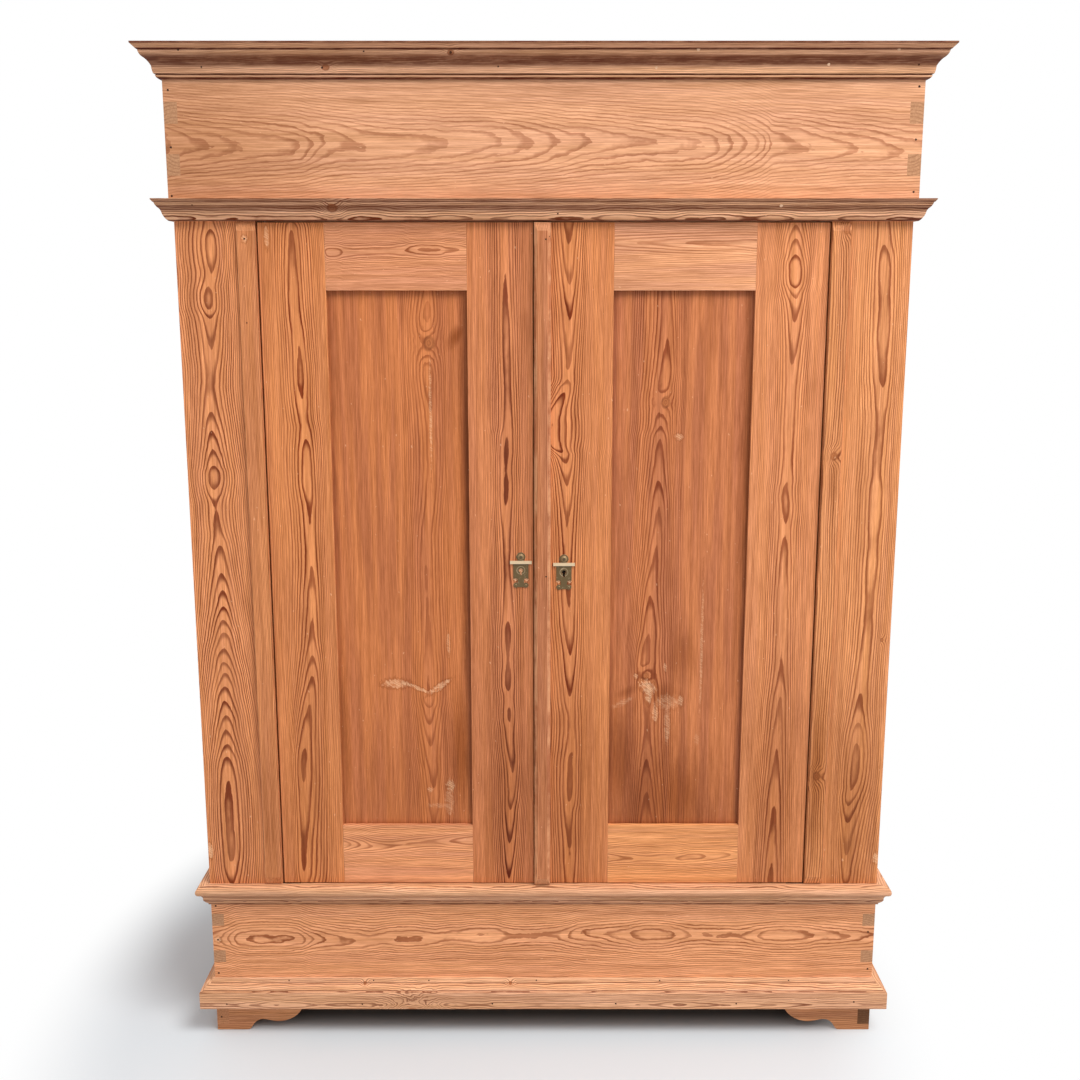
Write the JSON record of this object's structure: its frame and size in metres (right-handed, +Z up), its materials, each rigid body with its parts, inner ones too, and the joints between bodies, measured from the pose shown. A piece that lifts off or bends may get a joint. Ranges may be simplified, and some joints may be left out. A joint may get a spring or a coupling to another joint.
{
  "type": "wardrobe",
  "caption": "Stripped pine knock-down wardrobe: moulded cornice box, framed and panelled doors on end pivots, dovetailed plinth base on bracket feet.",
  "frame": {"origin": "on the floor, under the middle of the whole piece", "axes": "+X to the right seen from the front, +Y to the back, +Z up; the doors face -Y"},
  "size_m": [1.416, 0.5696, 1.89],
  "materials": {
    "pine_upright": "stripped and waxed, satin",
    "pine_board": "stripped and waxed, satin",
    "pine_panel": "stripped and waxed, satin",
    "pine_moulding": "stripped and waxed, satin",
    "pine_inside": "bare, matte",
    "aged_brass": "tarnished",
    "wrought_iron": "aged, matte"
  },
  "bodies": {
    "cabinet": {"back_boards": "pine_inside", "base_back_board": "pine_inside", "base_front_board": "pine_board", "base_moulding_front": "pine_moulding", "base_moulding_sides": "pine_moulding", "base_side_boards": "pine_board", "board_cleats": "pine_inside", "ceiling_boards": "pine_inside", "corner_blocks": "pine_inside", "cornice_back_board": "pine_inside", "cornice_front_board": "pine_board", "cornice_side_boards": "pine_board", "crown_front": "pine_moulding", "crown_sides": "pine_moulding", "door_stops": "pine_inside", "floor_boards": "pine_inside", "front_feet": "pine_board", "hanging_rail": "pine_inside", "hat_shelf": "pine_inside", "left_front_stile": "pine_upright", "left_side_panel": "pine_panel", "left_side_rails": "pine_board", "left_side_stiles": "pine_upright", "locating_pegs": "pine_inside", "outer_battens": "pine_upright", "pivot_sockets": "wrought_iron", "plinth_front": "pine_moulding", "plinth_sides": "pine_moulding", "right_front_stile": "pine_upright", "right_side_panel": "pine_panel", "right_side_rails": "pine_board", "right_side_stiles": "pine_upright", "shelf_cleats": "pine_inside", "side_feet": "pine_board", "waist_front": "pine_moulding", "waist_sides": "pine_moulding"},
    "left_door": {"left_door_bottom_rail": "pine_board", "left_door_hinge_stile": "pine_upright", "left_door_lock_stile": "pine_upright", "left_door_panel": "pine_panel", "left_door_pivots": "wrought_iron", "left_door_top_rail": "pine_board", "lock_strike": "wrought_iron", "left_escutcheon": "aged_brass", "left_escutcheon_tacks": "aged_brass", "slide_bolt_guides": "wrought_iron"},
    "right_door": {"right_door_bottom_rail": "pine_board", "right_door_hinge_stile": "pine_upright", "right_door_lock_stile": "pine_upright", "right_door_panel": "pine_panel", "right_door_pivots": "wrought_iron", "right_door_top_rail": "pine_board", "centre_batten": "pine_upright", "right_escutcheon": "aged_brass", "right_escutcheon_tacks": "aged_brass", "lock_case": "wrought_iron"},
    "top_slide_bolt": {"top_slide_bolt": "wrought_iron"},
    "bottom_slide_bolt": {"bottom_slide_bolt": "wrought_iron"},
    "lock_bolt": {"lock_bolt": "wrought_iron"}
  },
  "joints": [
    {"name": "left_door_swing", "type": "hinge", "parent": "cabinet", "child": "left_door", "pos_m": [-0.501, -0.22725, 0.319], "axis": [0, 0, -1], "range_deg": [0, 105]},
    {"name": "right_door_swing", "type": "hinge", "parent": "cabinet", "child": "right_door", "pos_m": [0.501, -0.22725, 0.319], "axis": [0, 0, 1], "range_deg": [0, 105]},
    {"name": "top_bolt_slide", "type": "slide", "parent": "left_door", "child": "top_slide_bolt", "axis": [0, 0, 1], "range_m": [0, 0.014]},
    {"name": "bottom_bolt_slide", "type": "slide", "parent": "left_door", "child": "bottom_slide_bolt", "axis": [0, 0, -1], "range_m": [0, 0.014]},
    {"name": "lock_bolt_slide", "type": "slide", "parent": "right_door", "child": "lock_bolt", "axis": [-1, 0, 0], "range_m": [0, 0.009]}
  ]
}
